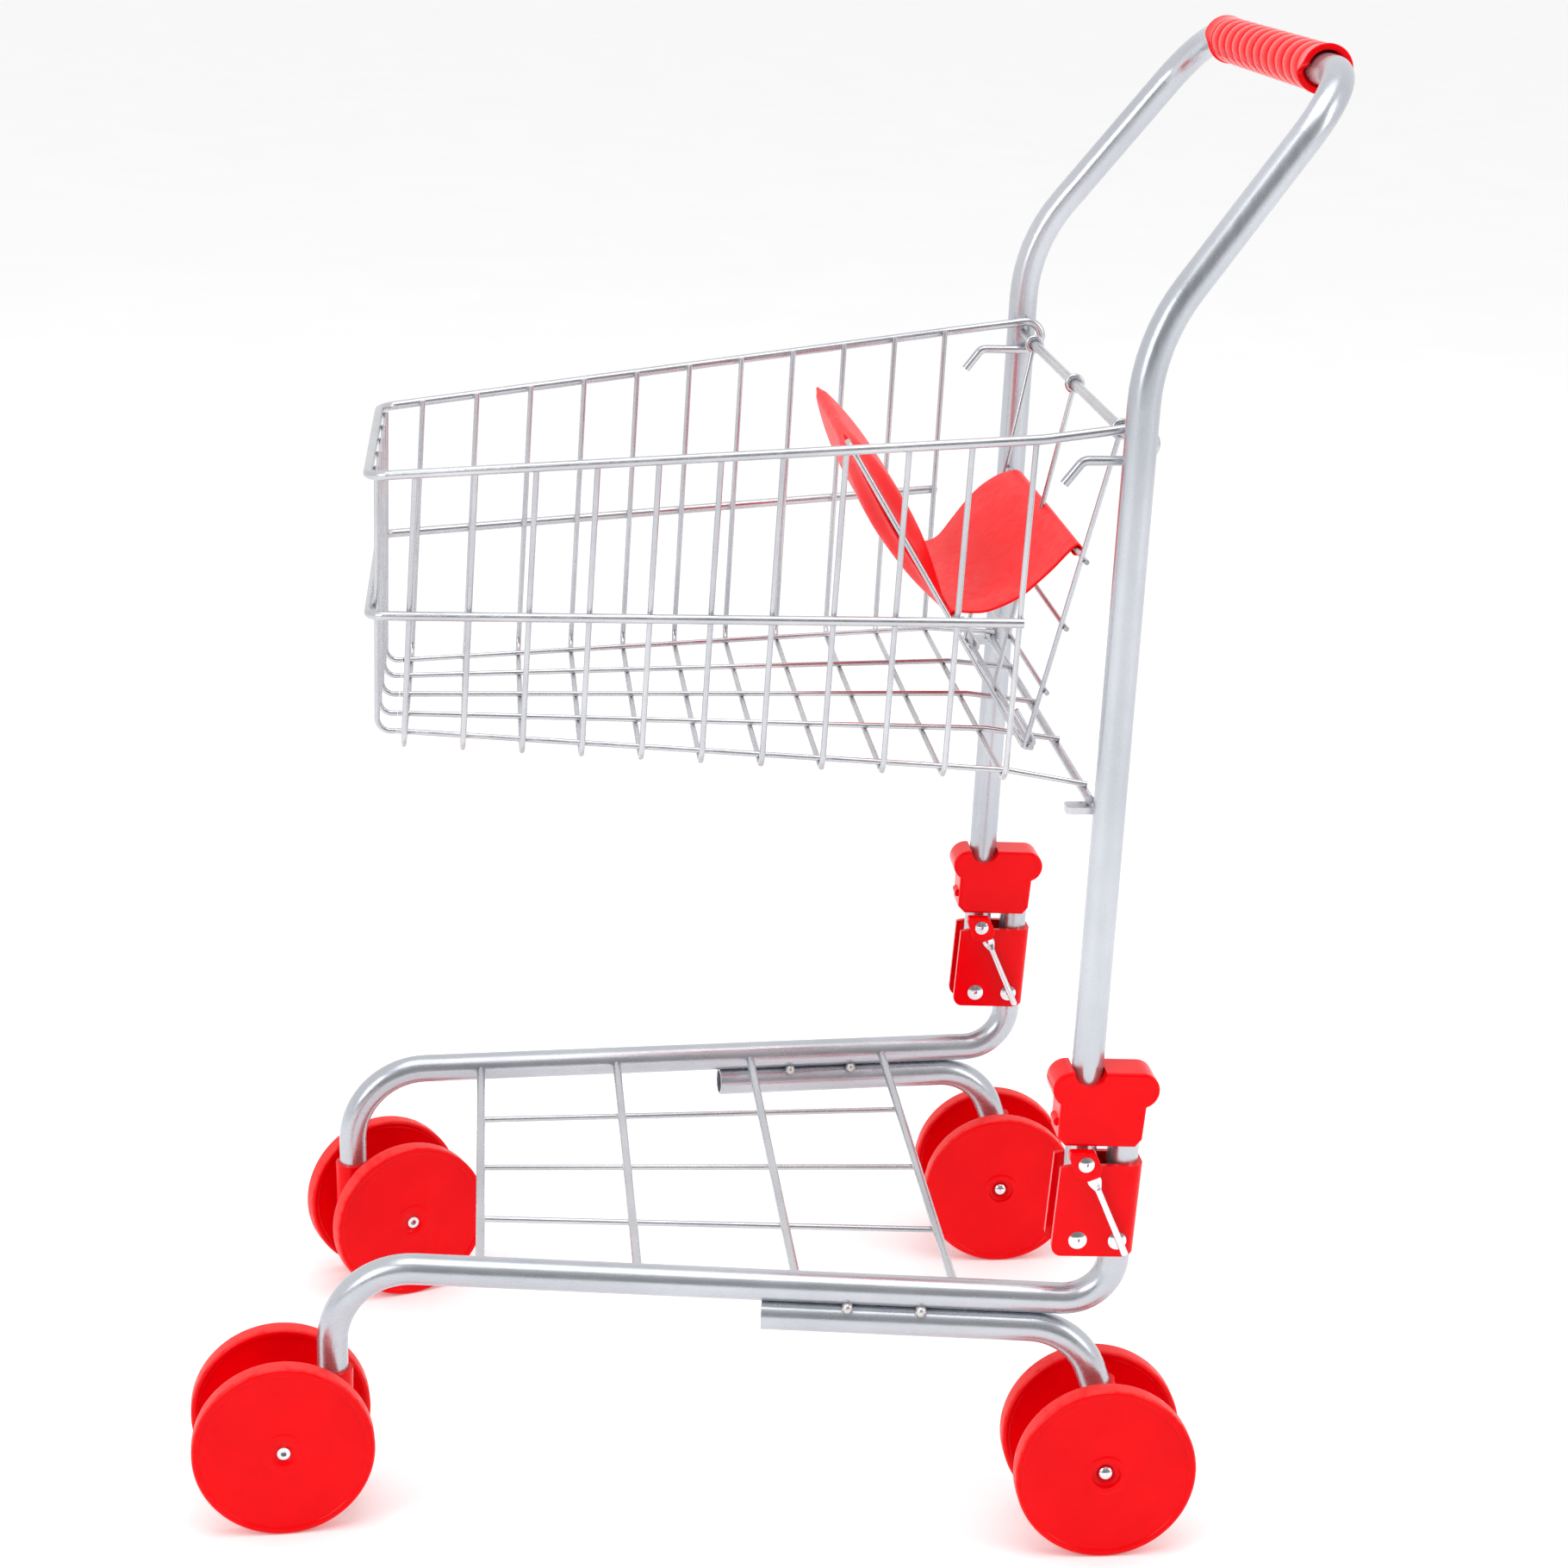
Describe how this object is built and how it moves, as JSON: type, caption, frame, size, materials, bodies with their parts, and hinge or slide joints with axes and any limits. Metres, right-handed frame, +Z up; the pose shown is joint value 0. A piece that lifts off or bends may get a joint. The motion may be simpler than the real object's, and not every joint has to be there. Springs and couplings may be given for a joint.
{
  "type": "toy shopping cart",
  "caption": "Child-size folding shopping trolley with a bent-tube frame, wire basket, fold-down doll seat, wire shelf and twin wheels.",
  "frame": {"origin": "on the ground, under the middle of the bounding box", "axes": "+Z up; the front of the trolley points to -Y and the handle to +Y; +X is on the right seen from the front"},
  "size_m": [0.3144, 0.4293, 0.5671],
  "materials": {
    "frame_tube": "silver grey lacquer, satin metallic",
    "steel_wire": "bright zinc plated drawn wire",
    "plated_steel": "bright zinc plated steel",
    "rivet_chrome": "polished domed rivet head",
    "weld": "bright tack weld",
    "red_plastic": "glossy injection moulded red plastic"
  },
  "bodies": {
    "lower_frame": {"lower_tube_right": "frame_tube", "lower_tube_left": "frame_tube", "rear_leg_tube_right": "frame_tube", "rear_leg_tube_left": "frame_tube", "weld_beads": "weld", "shelf_grid": "steel_wire", "hinge_bracket_right": "red_plastic", "hinge_bracket_left": "red_plastic", "pivot_rivets": "rivet_chrome", "socket_rivets": "rivet_chrome", "rear_hub_right": "red_plastic", "rear_hub_left": "red_plastic"},
    "upper_frame": {"handle_tube": "frame_tube", "handle_grip": "red_plastic", "cross_bar": "steel_wire", "basket_clips": "plated_steel", "lever_rivets": "rivet_chrome"},
    "basket": {"basket_rim": "steel_wire", "basket_side_right": "steel_wire", "basket_side_left": "steel_wire", "basket_front": "steel_wire", "basket_floor": "steel_wire"},
    "gate": {"gate_frame": "steel_wire"},
    "seat_back": {"seat_back_frame": "steel_wire", "backrest": "red_plastic"},
    "seat_plate": {"seat_plate": "red_plastic"},
    "caster_right": {"caster_hub_right": "red_plastic"},
    "front_wheels_right": {"wheel_front_right_plus_x": "red_plastic", "wheel_front_right_minus_x": "red_plastic", "axle_front_right": "plated_steel"},
    "rear_wheels_right": {"wheel_rear_right_plus_x": "red_plastic", "wheel_rear_right_minus_x": "red_plastic", "axle_rear_right": "plated_steel"},
    "sleeve_right": {"lock_sleeve_right": "red_plastic"},
    "lever_right": {"cam_lobe_right": "red_plastic", "lever_rod_right": "plated_steel"},
    "caster_left": {"caster_hub_left": "red_plastic"},
    "front_wheels_left": {"wheel_front_left_plus_x": "red_plastic", "wheel_front_left_minus_x": "red_plastic", "axle_front_left": "plated_steel"},
    "rear_wheels_left": {"wheel_rear_left_plus_x": "red_plastic", "wheel_rear_left_minus_x": "red_plastic", "axle_rear_left": "plated_steel"},
    "sleeve_left": {"lock_sleeve_left": "red_plastic"},
    "lever_left": {"cam_lobe_left": "red_plastic", "lever_rod_left": "plated_steel"}
  },
  "joints": [
    {"name": "frame_fold", "type": "hinge", "parent": "lower_frame", "child": "upper_frame", "pos_m": [0, 0.1229, 0.1275], "axis": [1, 0, 0], "range_deg": [0, 60]},
    {"name": "basket_swing", "type": "hinge", "parent": "upper_frame", "child": "basket", "pos_m": [0, 0.1325, 0.429], "axis": [1, 0, 0], "range_deg": [-60, 0]},
    {"name": "gate_swing", "type": "hinge", "parent": "basket", "child": "gate", "pos_m": [0, 0.1325, 0.429], "axis": [1, 0, 0], "range_deg": [-50, 0]},
    {"name": "seat_back_fold", "type": "hinge", "parent": "gate", "child": "seat_back", "pos_m": [0, 0.107, 0.304], "axis": [1, 0, 0], "range_deg": [-30, 0]},
    {"name": "seat_plate_fold", "type": "hinge", "parent": "seat_back", "child": "seat_plate", "pos_m": [0, 0.07911, 0.34965], "axis": [1, 0, 0], "range_deg": [0, 61]},
    {"name": "caster_swivel_right", "type": "hinge", "parent": "lower_frame", "child": "caster_right", "pos_m": [0.1016, -0.1591, 0.05], "axis": [0, 0, 1], "continuous": true},
    {"name": "front_wheel_spin_right", "type": "hinge", "parent": "caster_right", "child": "front_wheels_right", "pos_m": [0.10331, -0.17903, 0.035], "axis": [-0.9963, -0.0854, 0], "continuous": true},
    {"name": "rear_wheel_spin_right", "type": "hinge", "parent": "lower_frame", "child": "rear_wheels_right", "pos_m": [0.1353, 0.1364, 0.035], "axis": [1, 0, 0], "continuous": true},
    {"name": "sleeve_slide_right", "type": "slide", "parent": "upper_frame", "child": "sleeve_right", "axis": [0, 0.0319, 0.9995], "range_m": [0, 0.02]},
    {"name": "lever_turn_right", "type": "hinge", "parent": "upper_frame", "child": "lever_right", "pos_m": [0.136, 0.12394, 0.16018], "axis": [1, 0, 0], "range_deg": [0, 90]},
    {"name": "caster_swivel_left", "type": "hinge", "parent": "lower_frame", "child": "caster_left", "pos_m": [-0.1016, -0.1591, 0.05], "axis": [0, 0, 1], "continuous": true},
    {"name": "front_wheel_spin_left", "type": "hinge", "parent": "caster_left", "child": "front_wheels_left", "pos_m": [-0.10909, -0.14056, 0.035], "axis": [0.9272, 0.3746, 0], "continuous": true},
    {"name": "rear_wheel_spin_left", "type": "hinge", "parent": "lower_frame", "child": "rear_wheels_left", "pos_m": [-0.1353, 0.1364, 0.035], "axis": [1, 0, 0], "continuous": true},
    {"name": "sleeve_slide_left", "type": "slide", "parent": "upper_frame", "child": "sleeve_left", "axis": [0, 0.0319, 0.9995], "range_m": [0, 0.02]},
    {"name": "lever_turn_left", "type": "hinge", "parent": "upper_frame", "child": "lever_left", "pos_m": [-0.136, 0.12394, 0.16018], "axis": [1, 0, 0], "range_deg": [0, 90]}
  ],
  "couplings": [
    {"joint": "basket_swing", "follows": "frame_fold", "ratio": -1},
    {"joint": "seat_plate_fold", "follows": "seat_back_fold", "ratio": -2.03}
  ]
}
